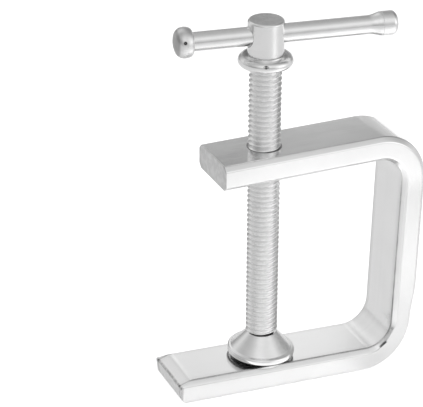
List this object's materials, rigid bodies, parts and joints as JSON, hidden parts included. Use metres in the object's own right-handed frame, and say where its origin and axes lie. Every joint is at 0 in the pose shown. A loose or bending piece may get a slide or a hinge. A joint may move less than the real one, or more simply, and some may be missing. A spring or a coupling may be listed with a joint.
{
  "type": "g-clamp",
  "caption": "Small steel G-clamp bent from flat bar, with a threaded spindle, a sliding tommy bar and a swivel pad that presses work against the lower arm.",
  "frame": {"origin": "on the jaw, the lower arm's inner face, straight below the centre of the screw's ball tip", "axes": "+Z square to the jaw and out of it, +X into the throat towards the spine, +Y across the bar, away from the side in the picture"},
  "size_m": [0.0791, 0.0202, 0.1165],
  "materials": {
    "plated_bar": "bright satin plating over mild steel",
    "plated_screw": "bright plating over a rolled thread",
    "plated_turned": "bright plating over fine turning marks",
    "plated_rod": "bright plating over drawn rod",
    "plated_pad": "bright satin plating",
    "spring_wire": "plain spring wire"
  },
  "bodies": {
    "frame": {"frame": "plated_bar"},
    "carrier": {"pad_ring": "spring_wire"},
    "screw": {"spindle": "plated_screw", "collar": "plated_turned", "spindle_head": "plated_turned"},
    "bar": {"tommy_bar": "plated_rod", "bar_knob": "plated_turned", "bar_cap": "plated_rod"},
    "pad": {"swivel_pad": "plated_pad"}
  },
  "joints": [
    {"name": "screw_feed", "type": "slide", "parent": "frame", "child": "carrier", "axis": [-0.0523, 0, 0.9986], "range_m": [0, 0.0524]},
    {"name": "screw_turn", "type": "hinge", "parent": "carrier", "child": "screw", "pos_m": [0, 0, 0.0044], "axis": [-0.0523, 0, 0.9986], "range_deg": [0, 11880]},
    {"name": "bar_slide", "type": "slide", "parent": "screw", "child": "bar", "axis": [0.9863, -0.1564, 0.0517], "range_m": [-0.0253, 0.0158]},
    {"name": "pad_tilt", "type": "hinge", "parent": "carrier", "child": "pad", "pos_m": [0, 0, 0.0044], "axis": [0, 1, 0], "range_deg": [-4, 4]}
  ],
  "couplings": [
    {"joint": "screw_feed", "follows": "screw_turn", "m_per_rad": 0.00025266}
  ]
}
